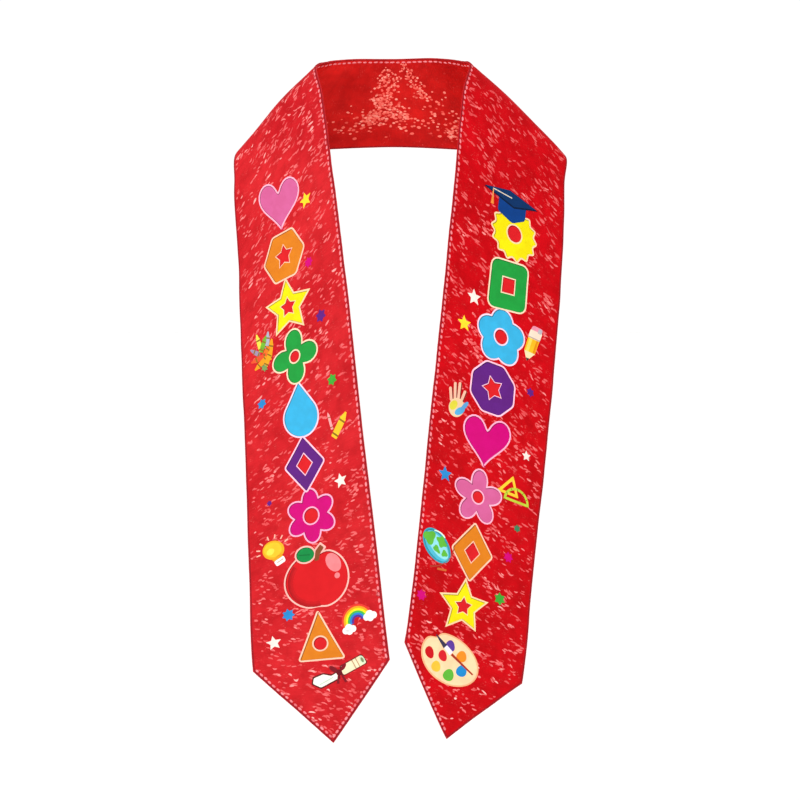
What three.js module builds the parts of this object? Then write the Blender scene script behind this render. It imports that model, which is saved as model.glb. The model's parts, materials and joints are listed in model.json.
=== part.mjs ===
// A graduation stole, in the form that it has when it is worn.
// One strip of cloth lies round the nape, turns over both shoulders and hangs down the chest in two panels
// with pointed ends. The origin is where the middle of the neck lining rests on the nape. +Z is up,
// +Y points to the wearer's back, and +X is to the right for someone who faces the wearer.
import * as THREE from 'three';

// Places on the wearer that the strip follows, in millimetres from the nape
const shoulderReach = 115;
const chestReach = 125;
const hangLength = 602;

// The cloth: its cut width on the panels, the points at its ends and the walls of its layers
const stripWidth = 126;
const pointDepth = 74;
const panelWall = 2.2;
const bandWall = 1;
const liningWall = 1;
const layerGap = 0.3;
const seamGap = 0.3;

// How far the cloth stands out of a flat sheet: the crown across its width and the highest soft ripple
const crownRise = 2.5;
const rippleRise = 3;

// Length of a facet along the strip, and facets across it. Their number is even, which puts one edge of
// the grid on the middle line, where the points have their tips.
const facetLength = 16;
const facetsAcross = 8;

// Lines across the strip, from the point of the left panel, round the nape, to the point of the right one.
// The middle of a line lies at across, forward and down, as shares of shoulderReach, chestReach and hangLength.
// The line itself is width of stripWidth long, from the outer edge to the inner one. It slants by slant
// degrees from +X, turned in the plane that faces the front, and its inner edge leans forward by lean degrees.
const crossLines = [
  { spot: 'left point', across: -0.51, forward: 0.95, down: 1, slant: 3, lean: 0, width: 1.02 },
  { spot: 'left hem', across: -0.61, forward: 0.96, down: 0.874, slant: 5, lean: 0, width: 1.02 },
  { spot: 'left lower', across: -0.68, forward: 0.98, down: 0.704, slant: 18, lean: 2, width: 0.985 },
  { spot: 'left middle', across: -0.75, forward: 0.98, down: 0.532, slant: 29, lean: 4, width: 0.975 },
  { spot: 'left upper', across: -0.82, forward: 0.92, down: 0.361, slant: 40, lean: 7, width: 1.03 },
  { spot: 'left chest', across: -0.893, forward: 0.78, down: 0.192, slant: 45, lean: 8, width: 1.01 },
  { spot: 'left front', across: -0.965, forward: 0.6, down: 0.058, slant: 46, lean: 4, width: 0.955 },
  { spot: 'left shoulder', across: -0.98, forward: 0.44, down: 0.014, slant: 47.5, lean: 0, width: 0.895 },
  { spot: 'left of neck', across: -0.85, forward: 0.26, down: 0.008, slant: 52, lean: -2, width: 0.87 },
  { spot: 'left nape', across: -0.5, forward: 0.1, down: 0.003, slant: 67, lean: 2, width: 0.75 },
  { spot: 'nape', across: 0, forward: 0, down: 0, slant: 90, lean: 6, width: 0.675 },
  { spot: 'right nape', across: 0.5, forward: 0.1, down: 0.003, slant: 113, lean: 2, width: 0.765 },
  { spot: 'right of neck', across: 0.83, forward: 0.26, down: 0.01, slant: 128, lean: -2, width: 0.9 },
  { spot: 'right shoulder', across: 0.995, forward: 0.44, down: 0.014, slant: 136, lean: 0, width: 0.995 },
  { spot: 'right front', across: 0.963, forward: 0.6, down: 0.06, slant: 138, lean: 4, width: 1.035 },
  { spot: 'right chest', across: 0.917, forward: 0.77, down: 0.19, slant: 141, lean: 8, width: 1.045 },
  { spot: 'right upper', across: 0.835, forward: 0.9, down: 0.358, slant: 146, lean: 8, width: 1.01 },
  { spot: 'right middle', across: 0.743, forward: 0.96, down: 0.526, slant: 148, lean: 9, width: 1 },
  { spot: 'right lower', across: 0.652, forward: 0.94, down: 0.698, slant: 152, lean: 10, width: 0.975 },
  { spot: 'right hem', across: 0.562, forward: 0.9, down: 0.868, slant: 158, lean: 12, width: 0.975 },
  { spot: 'right point', across: 0.41, forward: 0.88, down: 0.997, slant: 166, lean: 12, width: 0.97 },
];

// Soft ripples in the cloth. Each is centred beyond a cross line by past, a share of the step to the next
// line, and at side, from -1 at the inner edge to 1 at the outer one. It is reach of stripWidth long,
// spread of half the width wide, and rise of rippleRise high, to the face side.
const ripples = [
  { spot: 'left hem', past: 0.1, side: 0.6, reach: 0.4, spread: 0.9, rise: 0.9 },
  { spot: 'left lower', past: -0.5, side: -0.5, reach: 0.35, spread: 0.8, rise: -0.8 },
  { spot: 'left lower', past: 0.4, side: 0.4, reach: 0.4, spread: 1, rise: 1 },
  { spot: 'left middle', past: 0.3, side: -0.4, reach: 0.5, spread: 0.9, rise: -0.7 },
  { spot: 'left chest', past: -0.4, side: 0.5, reach: 0.5, spread: 0.8, rise: 0.6 },
  { spot: 'right chest', past: 0.5, side: -0.3, reach: 0.5, spread: 0.9, rise: -0.7 },
  { spot: 'right middle', past: 0, side: 0.5, reach: 0.45, spread: 0.8, rise: 0.9 },
  { spot: 'right lower', past: 0, side: -0.5, reach: 0.4, spread: 0.9, rise: 0.8 },
  { spot: 'right hem', past: -0.1, side: 0.4, reach: 0.35, spread: 0.9, rise: -0.9 },
];

function middleOf(line) {
  return new THREE.Vector3(
    line.across * shoulderReach, -line.forward * chestReach, -line.down * hangLength,
  );
}

function edgeOf(line, side) {
  const slant = THREE.MathUtils.degToRad(line.slant);
  const lean = THREE.MathUtils.degToRad(line.lean);
  const inward = new THREE.Vector3(
    Math.cos(slant) * Math.cos(lean), -Math.sin(lean), Math.sin(slant) * Math.cos(lean),
  );
  return middleOf(line).addScaledVector(inward, -side * line.width * stripWidth / 2);
}

// The strip's middle line and its two edges are smooth curves through the cross lines
const samplesPerLine = 40;
const middleLine = new THREE.CatmullRomCurve3(crossLines.map(middleOf));
const innerEdge = new THREE.CatmullRomCurve3(crossLines.map((line) => edgeOf(line, -1)));
const outerEdge = new THREE.CatmullRomCurve3(crossLines.map((line) => edgeOf(line, 1)));
middleLine.arcLengthDivisions = (crossLines.length - 1) * samplesPerLine;
const stripLength = middleLine.getLength();

// Distance along the middle line, from the left point, at which a named cross line lies
function distanceAt(spot, past = 0) {
  const index = crossLines.findIndex((line) => line.spot === spot);
  return middleLine.getLengths()[Math.round((index + past) * samplesPerLine)];
}

const rippleCentres = ripples.map((ripple) => distanceAt(ripple.spot, ripple.past));

function standOut(distance, side) {
  let rise = crownRise * (1 - side * side);
  ripples.forEach((ripple, index) => {
    const along = (distance - rippleCentres[index]) / (ripple.reach * stripWidth);
    const aside = (side - ripple.side) / ripple.spread;
    rise += ripple.rise * rippleRise * Math.exp(-along * along - aside * aside);
  });
  return rise;
}

// A point of the flat strip between its edges, and the direction in which its face looks there
function ruledPoint(distance, side) {
  const t = middleLine.getUtoTmapping(0, THREE.MathUtils.clamp(distance, 0, stripLength));
  return innerEdge.getPoint(t).lerp(outerEdge.getPoint(t), (1 + side) / 2);
}

function faceDirection(distance, side) {
  const step = 0.5;
  const along = ruledPoint(distance + step, side).sub(ruledPoint(distance - step, side));
  const outward = ruledPoint(distance, 1).sub(ruledPoint(distance, -1));
  return along.cross(outward).normalize();
}

// A point of the cloth, raised from the middle of its thickness towards its face
function clothPoint(distance, side, raised) {
  const face = faceDirection(distance, side);
  return ruledPoint(distance, side).addScaledVector(face, standOut(distance, side) + raised);
}

// One closed piece of cloth. It runs along the strip from startAt to endAt, which give the distance for
// each side, and through its thickness from lower to upper.
function clothPiece(name, { startAt, endAt, lower, upper, colour, roughness }) {
  const facetsAlong = Math.ceil((endAt(0) - startAt(0)) / facetLength);
  const corners = [];
  for (const raised of [lower, upper]) {
    for (let row = 0; row <= facetsAlong; row += 1) {
      for (let column = 0; column <= facetsAcross; column += 1) {
        const side = (2 * column) / facetsAcross - 1;
        const distance = THREE.MathUtils.lerp(startAt(side), endAt(side), row / facetsAlong);
        corners.push(clothPoint(distance, side, raised));
      }
    }
  }
  const layerSize = (facetsAlong + 1) * (facetsAcross + 1);
  const cornerAt = (row, column, layer) => layer * layerSize + row * (facetsAcross + 1) + column;
  const triangles = [];
  const addFacet = (a, b, c, d) => triangles.push(a, b, c, a, c, d);
  for (let row = 0; row < facetsAlong; row += 1) {
    for (let column = 0; column < facetsAcross; column += 1) {
      const first = cornerAt(row, column, 0);
      const along = cornerAt(row + 1, column, 0);
      const opposite = cornerAt(row + 1, column + 1, 0);
      const across = cornerAt(row, column + 1, 0);
      addFacet(first + layerSize, along + layerSize, opposite + layerSize, across + layerSize);
      addFacet(first, across, opposite, along);
    }
    addFacet(cornerAt(row, 0, 0), cornerAt(row + 1, 0, 0), cornerAt(row + 1, 0, 1), cornerAt(row, 0, 1));
    const last = facetsAcross;
    addFacet(cornerAt(row, last, 1), cornerAt(row + 1, last, 1), cornerAt(row + 1, last, 0), cornerAt(row, last, 0));
  }
  for (let column = 0; column < facetsAcross; column += 1) {
    const next = column + 1;
    const top = facetsAlong;
    addFacet(cornerAt(0, column, 1), cornerAt(0, next, 1), cornerAt(0, next, 0), cornerAt(0, column, 0));
    addFacet(cornerAt(top, column, 0), cornerAt(top, next, 0), cornerAt(top, next, 1), cornerAt(top, column, 1));
  }
  const geometry = new THREE.BufferGeometry().setFromPoints(corners);
  geometry.setIndex(triangles);
  geometry.computeVertexNormals();
  const mesh = new THREE.Mesh(geometry, new THREE.MeshStandardMaterial({ color: colour, roughness, metalness: 0 }));
  mesh.name = name;
  return mesh;
}

// The strip is sewn together along the ridge of each shoulder, and its two ends are cut to points
const leftRidge = distanceAt('left shoulder');
const rightRidge = distanceAt('right shoulder');
const leftPointEdge = (side) => pointDepth * Math.abs(side);
const rightPointEdge = (side) => stripLength - pointDepth * Math.abs(side);

const leftPanel = clothPiece('left_panel', {
  startAt: leftPointEdge,
  endAt: () => leftRidge - seamGap / 2,
  lower: -panelWall / 2,
  upper: panelWall / 2,
  colour: '#db2b2f',
  roughness: 0.42,
});

const rightPanel = clothPiece('right_panel', {
  startAt: () => rightRidge + seamGap / 2,
  endAt: rightPointEdge,
  lower: -panelWall / 2,
  upper: panelWall / 2,
  colour: '#ce1620',
  roughness: 0.42,
});

// Round the neck the strip is the band, on the outside, and the lining, which lies on the wearer's neck
const bandStart = () => leftRidge + seamGap / 2;
const bandEnd = () => rightRidge - seamGap / 2;

const neckBand = clothPiece('neck_band', {
  startAt: bandStart,
  endAt: bandEnd,
  lower: layerGap / 2,
  upper: layerGap / 2 + bandWall,
  colour: '#d41e26',
  roughness: 0.42,
});

const neckLining = clothPiece('neck_lining', {
  startAt: bandStart,
  endAt: bandEnd,
  lower: -layerGap / 2 - liningWall,
  upper: -layerGap / 2,
  colour: '#b01a1a',
  roughness: 0.36,
});

// The whole stole is placed so that the lining's inner face passes through the origin
const stole = new THREE.Group();
stole.position.y = layerGap / 2 + liningWall - crownRise;
stole.add(leftPanel, rightPanel, neckBand, neckLining);

export default stole;
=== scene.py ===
import json
import math
import random

import bmesh
import bpy
import numpy as np
from mathutils import Matrix, Vector

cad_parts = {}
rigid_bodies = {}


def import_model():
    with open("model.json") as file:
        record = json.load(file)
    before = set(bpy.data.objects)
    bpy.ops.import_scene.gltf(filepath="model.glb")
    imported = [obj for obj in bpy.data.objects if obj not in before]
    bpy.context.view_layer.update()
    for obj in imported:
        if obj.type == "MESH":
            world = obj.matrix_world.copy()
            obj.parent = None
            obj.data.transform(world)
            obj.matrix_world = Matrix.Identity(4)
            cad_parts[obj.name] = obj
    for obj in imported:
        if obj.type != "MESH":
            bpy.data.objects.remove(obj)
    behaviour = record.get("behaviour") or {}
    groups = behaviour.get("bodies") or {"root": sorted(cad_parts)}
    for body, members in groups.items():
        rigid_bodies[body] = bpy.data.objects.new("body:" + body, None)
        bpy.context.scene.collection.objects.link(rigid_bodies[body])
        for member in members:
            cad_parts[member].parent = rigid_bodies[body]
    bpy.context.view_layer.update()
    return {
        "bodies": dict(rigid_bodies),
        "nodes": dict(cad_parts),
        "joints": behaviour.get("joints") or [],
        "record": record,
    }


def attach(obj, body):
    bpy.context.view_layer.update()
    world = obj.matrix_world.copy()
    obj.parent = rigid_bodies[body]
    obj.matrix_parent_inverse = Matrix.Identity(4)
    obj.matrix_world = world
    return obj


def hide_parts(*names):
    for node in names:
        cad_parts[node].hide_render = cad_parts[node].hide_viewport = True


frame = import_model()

MM = 0.001

# The panels
# Each panel is a long strip of printed red satin, backed with a deeper red satin. The two layers are sewn
# face to face, turned and pressed, and hang over the chest from the ridge of the shoulder to a cut point.
SHOULDER_REACH = 115 * MM
CHEST_REACH = 125 * MM
HANG_LENGTH = 602 * MM
STRIP_WIDTH = 126 * MM
POINT_DEPTH = 74 * MM
# The lining's wall in the solids, which sets how far the strip lies off the nape
LINING_WALL = 1 * MM
LAYER_GAP = 0.3 * MM
CROWN_RISE = 2.5 * MM
RIPPLE_RISE = 3 * MM
SEAT_ON_NAPE = LAYER_GAP / 2 + LINING_WALL - CROWN_RISE

# Lines across the strip, as in the part's source: the spot, the middle of the line as shares of the three
# lengths above, the slant and the lean of the line in degrees, and its width as a share of STRIP_WIDTH
CROSS_LINES = [
    ("left point", -0.51, 0.95, 1, 3, 0, 1.02),
    ("left hem", -0.61, 0.96, 0.874, 5, 0, 1.02),
    ("left lower", -0.68, 0.98, 0.704, 18, 2, 0.985),
    ("left middle", -0.75, 0.98, 0.532, 29, 4, 0.975),
    ("left upper", -0.82, 0.92, 0.361, 40, 7, 1.03),
    ("left chest", -0.893, 0.78, 0.192, 45, 8, 1.01),
    ("left front", -0.965, 0.6, 0.058, 46, 4, 0.955),
    ("left shoulder", -0.98, 0.44, 0.014, 47.5, 0, 0.895),
    ("left of neck", -0.85, 0.26, 0.008, 52, -2, 0.87),
    ("left nape", -0.5, 0.1, 0.003, 67, 2, 0.75),
    ("nape", 0, 0, 0, 90, 6, 0.675),
    ("right nape", 0.5, 0.1, 0.003, 113, 2, 0.765),
    ("right of neck", 0.83, 0.26, 0.01, 128, -2, 0.9),
    ("right shoulder", 0.995, 0.44, 0.014, 136, 0, 0.995),
    ("right front", 0.963, 0.6, 0.06, 138, 4, 1.035),
    ("right chest", 0.917, 0.77, 0.19, 141, 8, 1.045),
    ("right upper", 0.835, 0.9, 0.358, 146, 8, 1.01),
    ("right middle", 0.743, 0.96, 0.526, 148, 9, 1),
    ("right lower", 0.652, 0.94, 0.698, 152, 10, 0.975),
    ("right hem", 0.562, 0.9, 0.868, 158, 12, 0.975),
    ("right point", 0.41, 0.88, 0.997, 166, 12, 0.97),
]

# Soft ripples: the spot, how far past it as a share of the step to the next line, the side from -1 at the
# inner edge to 1 at the outer one, the length as a share of STRIP_WIDTH, the width as a share of half of it,
# and the height as a share of RIPPLE_RISE
RIPPLES = [
    ("left hem", 0.1, 0.6, 0.4, 0.9, 0.9),
    ("left lower", -0.5, -0.5, 0.35, 0.8, -0.8),
    ("left lower", 0.4, 0.4, 0.4, 1, 1),
    ("left middle", 0.3, -0.4, 0.5, 0.9, -0.7),
    ("left chest", -0.4, 0.5, 0.5, 0.8, 0.6),
    ("right chest", 0.5, -0.3, 0.5, 0.9, -0.7),
    ("right middle", 0, 0.5, 0.45, 0.8, 0.9),
    ("right lower", 0, -0.5, 0.4, 0.9, 0.8),
    ("right hem", -0.1, 0.4, 0.35, 0.9, -0.9),
]

# Shallow creases of thin satin, too fine for the solids: length of a wave along the strip, how many waves
# it shifts from the middle to the outer edge, and its height
CREASES = [
    (83 * MM, 0.8, 0.45 * MM),
    (47 * MM, -0.6, 0.25 * MM),
    (29 * MM, 0.9, 0.10 * MM),
]

SAMPLES_PER_LINE = 40


def curve_through(points):
    """Samples of a smooth curve through the points, a centripetal Catmull-Rom spline."""
    points = np.array(points)
    padded = np.vstack([2 * points[0] - points[1], points, 2 * points[-1] - points[-2]])
    weight = np.linspace(0, 1, SAMPLES_PER_LINE, endpoint=False)[:, None]
    stretches = []
    for before, start, end, after in zip(padded, padded[1:], padded[2:], padded[3:]):
        gaps = [np.sqrt(np.linalg.norm(b - a)) for a, b in ((before, start), (start, end), (end, after))]
        leave = (start - before) / gaps[0] - (end - before) / (gaps[0] + gaps[1]) + (end - start) / gaps[1]
        arrive = (end - start) / gaps[1] - (after - start) / (gaps[1] + gaps[2]) + (after - end) / gaps[2]
        leave, arrive = leave * gaps[1], arrive * gaps[1]
        square = 3 * (end - start) - 2 * leave - arrive
        cube = 2 * (start - end) + leave + arrive
        stretches.append(start + leave * weight + square * weight**2 + cube * weight**3)
    return np.vstack([*stretches, points[-1:]])


def edge_point(line, side):
    """The end of a cross line, at side -1 for the inner edge, 1 for the outer one and 0 for its middle."""
    _, across, forward, down, slant, lean, width = line
    middle = np.array([across * SHOULDER_REACH, SEAT_ON_NAPE - forward * CHEST_REACH, -down * HANG_LENGTH])
    slant, lean = math.radians(slant), math.radians(lean)
    inward = (math.cos(slant) * math.cos(lean), -math.sin(lean), math.sin(slant) * math.cos(lean))
    return middle - side * np.array(inward) * width * STRIP_WIDTH / 2


inner_curve = curve_through([edge_point(line, -1) for line in CROSS_LINES])
outer_curve = curve_through([edge_point(line, 1) for line in CROSS_LINES])
middle_curve = curve_through([edge_point(line, 0) for line in CROSS_LINES])
steps = np.linalg.norm(np.diff(middle_curve, axis=0), axis=1)
curve_distance = np.concatenate([[0], np.cumsum(steps)])
STRIP_LENGTH = curve_distance[-1]


def distance_at(spot, past=0):
    """Distance along the middle of the strip, from the left point, of a cross line."""
    index = [line[0] for line in CROSS_LINES].index(spot)
    return curve_distance[round((index + past) * SAMPLES_PER_LINE)]


LEFT_RIDGE = distance_at("left shoulder")
RIGHT_RIDGE = distance_at("right shoulder")
NAPE = distance_at("nape")

# The seam along a sewn edge: where the stitch line runs, where the painted shade of a groove lies beside the
# turned edge, how far the hem swells, how deep the thread pulls the cloth in, and the puckers that it gathers
LEFT_STITCH_INSET = 3.2 * MM
RIGHT_STITCH_INSET = 2.7 * MM
BAND_STITCH_INSET = 4.9 * MM
GROOVE_SHADE_INSET = 1.3 * MM
HEM_SWELL = 0.3 * MM
STITCH_PULL = 0.35 * MM
PUCKER_HEIGHT = 0.16 * MM
PUCKER_LENGTH = 10 * MM
PUCKER_REACH = 6 * MM
# The puckers come closer together and drift apart again by this many radians, over a wave of this length
PUCKER_DRIFT = 1.7
PUCKER_DRIFT_WAVE = 31 * MM

# Half the width, how much nearer a point's cut edge comes for each step along the strip, and the side, just
# past the tip, at which the stitches of the right point end
HALF_WIDTH = STRIP_WIDTH / 2
POINT_SLOPE = HALF_WIDTH / math.hypot(HALF_WIDTH, POINT_DEPTH)
RIGHT_STITCHES_END = 0.02


def stitched_edge(distance, side):
    """Distance to the nearest edge that is topstitched: the inner edge, and three of the four point edges."""
    inner = (1 + side) * HALF_WIDTH
    left_point = (distance - POINT_DEPTH * np.abs(side)) * POINT_SLOPE
    right_point = (STRIP_LENGTH - distance - POINT_DEPTH * np.abs(side)) * POINT_SLOPE
    right_row = np.where(side < RIGHT_STITCHES_END, right_point, inner)
    return np.minimum(np.minimum(inner, left_point), right_row)


def outline_edge(distance, side):
    """Distance to the nearest edge of the whole strip."""
    right_point = (STRIP_LENGTH - distance - POINT_DEPTH * np.abs(side)) * POINT_SLOPE
    nearest = np.minimum(stitched_edge(distance, side), right_point)
    return np.minimum(nearest, (1 - side) * HALF_WIDTH)


def bump(value, centre, spread):
    """A smooth hill of height 1."""
    return np.exp(-(((value - centre) / spread) ** 2))


def relief(distance, side):
    """How far the cloth stands out of the flat strip, towards its face."""
    rise = CROWN_RISE * (1 - side**2)
    for spot, past, ripple_side, reach, spread, height in RIPPLES:
        along = bump(distance, distance_at(spot, past), reach * STRIP_WIDTH)
        rise = rise + height * RIPPLE_RISE * along * bump(side, ripple_side, spread)
    for wave, skew, height in CREASES:
        rise = rise + height * np.sin(2 * math.pi * (distance / wave + skew * side))
    edge = stitched_edge(distance, side)
    inset = np.where(distance < LEFT_RIDGE, LEFT_STITCH_INSET, BAND_STITCH_INSET)
    inset = np.where(distance > RIGHT_RIDGE, RIGHT_STITCH_INSET, inset)
    drift = PUCKER_DRIFT * np.sin(distance / PUCKER_DRIFT_WAVE)
    puckers = np.sin(2 * math.pi * distance / PUCKER_LENGTH + drift)
    rise = rise + PUCKER_HEIGHT * puckers * bump(edge, inset, PUCKER_REACH)
    rise = rise + HEM_SWELL * bump(edge, inset / 2, inset / 2.5)
    return rise - STITCH_PULL * bump(edge, inset, inset / 4)


def flat_point(distance, side):
    """A point of the ruled strip, between its two edge curves."""
    inner, outer = (
        np.stack([np.interp(distance, curve_distance, curve[:, axis]) for axis in range(3)], axis=-1)
        for curve in (inner_curve, outer_curve)
    )
    share = ((1 + side) / 2)[..., None]
    return inner * (1 - share) + outer * share


def cloth_points(distance, side, raised):
    """Points of the cloth, raised from the middle of its thickness towards its face."""
    distance, side = np.asarray(distance, float), np.asarray(side, float)
    step = 1 * MM
    along = flat_point(distance + step, side) - flat_point(distance - step, side)
    outward = flat_point(distance, np.ones_like(side)) - flat_point(distance, -np.ones_like(side))
    face = np.cross(along, outward)
    face /= np.linalg.norm(face, axis=-1, keepdims=True)
    return flat_point(distance, side) + face * (relief(distance, side) + raised)[..., None]


def new_object(name, mesh, *materials):
    """An object of the scene at the origin, smooth, with its materials, riding on the part."""
    mesh.name = name
    made = bpy.data.objects.new(name, mesh)
    bpy.context.scene.collection.objects.link(made)
    for material in materials:
        mesh.materials.append(material)
    mesh.shade_smooth()
    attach(made, "root")
    return made


CLOTH_WALL = 1.7 * MM
GRID_STEP = 1.9 * MM
ROUND_OF_EDGE = 0.35 * MM
SHARP_EDGE = math.radians(60)


def cloth_piece(name, start_at, end_at, raised, wall, *materials):
    """A sheet of cloth along the strip, between the distances that start_at and end_at give for each side.
    The materials are those of its face, its back and its turned edge."""
    rows = round((end_at(0.0) - start_at(0.0)) / GRID_STEP)
    columns = 2 * round(HALF_WIDTH / GRID_STEP)
    grid = bmesh.new()
    bmesh.ops.create_grid(grid, x_segments=columns, y_segments=rows, size=1)
    mesh = bpy.data.meshes.new(name)
    grid.to_mesh(mesh)
    grid.free()
    corners = np.empty(len(mesh.vertices) * 3)
    mesh.vertices.foreach_get("co", corners)
    corners = corners.reshape(-1, 3)
    side, share = -corners[:, 0], (corners[:, 1] + 1) / 2
    distance = start_at(side) * (1 - share) + end_at(side) * share
    mesh.vertices.foreach_set("co", cloth_points(distance, side, raised).ravel())
    corner_vertex = np.empty(len(mesh.loops), dtype=np.int32)
    mesh.loops.foreach_get("vertex_index", corner_vertex)
    flat = np.stack([side * HALF_WIDTH, distance], axis=-1)
    mesh.uv_layers.new(name="cloth").data.foreach_set("uv", flat[corner_vertex].ravel())
    edge = mesh.attributes.new("edge", "FLOAT", "POINT")
    edge.data.foreach_set("value", outline_edge(distance, side))
    made = new_object(name, mesh, *materials)
    thick = made.modifiers.new("wall", "SOLIDIFY")
    thick.thickness = wall
    thick.offset = 0
    thick.material_offset = 1
    thick.material_offset_rim = 2
    rounded = made.modifiers.new("rounded edges", "BEVEL")
    rounded.width = ROUND_OF_EDGE
    rounded.segments = 2
    rounded.limit_method = "ANGLE"
    rounded.angle_limit = SHARP_EDGE
    return made


def linear(hex_colour):
    """An sRGB hex colour as linear light."""
    channels = [int(hex_colour[i : i + 2], 16) / 255 for i in (1, 3, 5)]
    return (*(c / 12.92 if c <= 0.04045 else ((c + 0.055) / 1.055) ** 2.4 for c in channels), 1.0)


def add_node(material, kind, inputs=None, **settings):
    """Adds a node to a material. inputs holds values, or the sockets that are linked to its own."""
    node = material.node_tree.nodes.new(kind)
    for name, value in settings.items():
        setattr(node, name, value)
    for name, value in (inputs or {}).items():
        if isinstance(value, bpy.types.NodeSocket):
            material.node_tree.links.new(value, node.inputs[name])
        else:
            node.inputs[name].default_value = value
    return node


def new_material(name, **finish):
    """A material with an empty Principled surface, whose constant finish is set on its own sockets."""
    material = bpy.data.materials.new(name)
    material.use_nodes = True
    shader = material.node_tree.nodes["Principled BSDF"]
    for socket, value in finish.items():
        shader.inputs[socket.replace("_", " ").title().replace("Ior", "IOR")].default_value = value
    return material, shader


def mix(material, factor, first, second, blend="MIX"):
    """The colour between first and second by factor."""
    inputs = {0: factor, 6: first, 7: second}
    return add_node(material, "ShaderNodeMix", inputs, data_type="RGBA", blend_type=blend).outputs[2]


def ramp(material, value, low, high, start=0.0, end=1.0):
    """value taken from low..high to start..end, and held there."""
    inputs = {0: value, 1: low, 2: high, 3: start, 4: end}
    return add_node(material, "ShaderNodeMapRange", inputs).outputs[0]


# Patterns of the satin: its broad shades, the blotches where the dye took deeper, and the length and spacing
# of the floats, which are coarser than real thread so that they show
SHADE_WIDTH = 70 * MM
BLOTCH_WIDTH = 11 * MM
FLOAT_LENGTH = 18 * MM
FLOAT_SPACING = 0.9 * MM
# The specks of its faint glitter and their loose clouds, and the thin line of painted groove shade along the
# turned edge
SPECK_LENGTH = 2.4 * MM
SPECK_HEIGHT = 0.9 * MM
SPECK_CLOUD = 9 * MM
GROOVE_SHADE_HALF = 0.3 * MM
GROOVE_SHADE_FADE = 1 * MM
# Its bumps: small crinkles, and the scale at which the diagonal ribs of the weave are 1 mm apart
CRINKLE_WIDTH = 6 * MM
RIB_SCALE = 2.2 * MM
# The stretch across the nape over which the painted shade of the right end comes in
PAINTED_SHADE_TURN = 80 * MM


def satin(name, deep, bright, groove_shade_colour, threads, sparkle, painted_right_shade):
    """Woven satin: a smooth, lustrous cloth, whose floats of thread run across the strip and catch the light
    in fine streaks. sparkle is the colour of the faint glitter that is printed all over it, and the last
    colour a painted shade that is multiplied in towards the strip's right end."""
    material, shader = new_material(name, specular_ior_level=0.05)
    flat = add_node(material, "ShaderNodeUVMap", uv_map="cloth").outputs[0]
    broad = add_node(material, "ShaderNodeTexNoise",
                     {0: flat, "Scale": 1 / SHADE_WIDTH, "Detail": 2}).outputs[0]
    colour = mix(material, ramp(material, broad, 0.35, 0.65), linear(deep), linear(bright))
    run = add_node(material, "ShaderNodeSeparateXYZ", {0: flat}).outputs[1]
    # Painted shade: past the nape the colour is multiplied darker towards the strip's right end
    right_shade_share = ramp(material, run, NAPE - PAINTED_SHADE_TURN, NAPE + PAINTED_SHADE_TURN)
    colour = mix(material, right_shade_share, colour, mix(material, 1, colour, linear(painted_right_shade), "MULTIPLY"))
    blotch = add_node(material, "ShaderNodeTexNoise",
                      {0: flat, "Scale": 1 / BLOTCH_WIDTH, "Detail": 4}).outputs[0]
    deeper = mix(material, 0.32, colour, linear(threads), "MULTIPLY")
    colour = mix(material, ramp(material, blotch, 0.36, 0.6), deeper, colour)
    # The floats lie across the strip
    stretched = add_node(material, "ShaderNodeMapping",
                         {0: flat, 3: (1 / FLOAT_LENGTH, 1 / FLOAT_SPACING, 1)})
    floats = add_node(material, "ShaderNodeTexNoise",
                      {0: stretched.outputs[0], "Scale": 1, "Detail": 3}).outputs[0]
    darker = mix(material, 0.16, colour, linear(threads), "MULTIPLY")
    colour = mix(material, ramp(material, floats, 0.35, 0.62), darker, colour)
    # The faint glitter shows where a speck and a cloud meet
    specks_map = add_node(material, "ShaderNodeMapping",
                          {0: flat, 3: (1 / SPECK_LENGTH, 1 / SPECK_HEIGHT, 1)})
    specks = add_node(material, "ShaderNodeTexNoise",
                      {0: specks_map.outputs[0], "Scale": 1, "Detail": 1}).outputs[0]
    clouds = add_node(material, "ShaderNodeTexNoise",
                      {0: flat, "Scale": 1 / SPECK_CLOUD, "Detail": 1}).outputs[0]
    shares = {0: ramp(material, clouds, 0.48, 0.72), 1: ramp(material, specks, 0.6, 0.72)}
    both = add_node(material, "ShaderNodeMath", shares, operation="MULTIPLY").outputs[0]
    colour = mix(material, ramp(material, both, 0, 1, 0, 0.6), colour, linear(sparkle))
    # A thin dark line of painted shade marks the groove beside the turned edge
    edge = add_node(material, "ShaderNodeAttribute", attribute_name="edge").outputs[2]
    past_line = add_node(material, "ShaderNodeMath", {0: edge, 1: GROOVE_SHADE_INSET},
                         operation="SUBTRACT").outputs[0]
    off_line = add_node(material, "ShaderNodeMath", {0: past_line}, operation="ABSOLUTE").outputs[0]
    colour = mix(material, ramp(material, off_line, GROOVE_SHADE_HALF, GROOVE_SHADE_FADE), linear(groove_shade_colour), colour)
    material.node_tree.links.new(colour, shader.inputs["Base Color"])
    rough = ramp(material, floats, 0.3, 0.7, 0.52, 0.4)
    material.node_tree.links.new(rough, shader.inputs["Roughness"])
    # The ribs of the weave, with the crinkles over them
    weave = add_node(material, "ShaderNodeTexWave", {0: flat, "Scale": 1 / RIB_SCALE, "Distortion": 1.5},
                     wave_type="BANDS", bands_direction="DIAGONAL").outputs[1]
    crinkle = add_node(material, "ShaderNodeTexNoise",
                       {0: flat, "Scale": 1 / CRINKLE_WIDTH, "Detail": 3}).outputs[0]
    rib = add_node(material, "ShaderNodeBump", {"Height": weave, "Strength": 0.12, "Distance": 0.1 * MM})
    fold = {"Height": crinkle, "Strength": 0.35, "Distance": 0.5 * MM, "Normal": rib.outputs[0]}
    bumped = add_node(material, "ShaderNodeBump", fold).outputs[0]
    material.node_tree.links.new(bumped, shader.inputs["Normal"])
    return material


# The fourth colour of each satin is a painted shade for the groove along its turned edge, and the last one a
# painted shade towards the strip's right end
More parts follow.
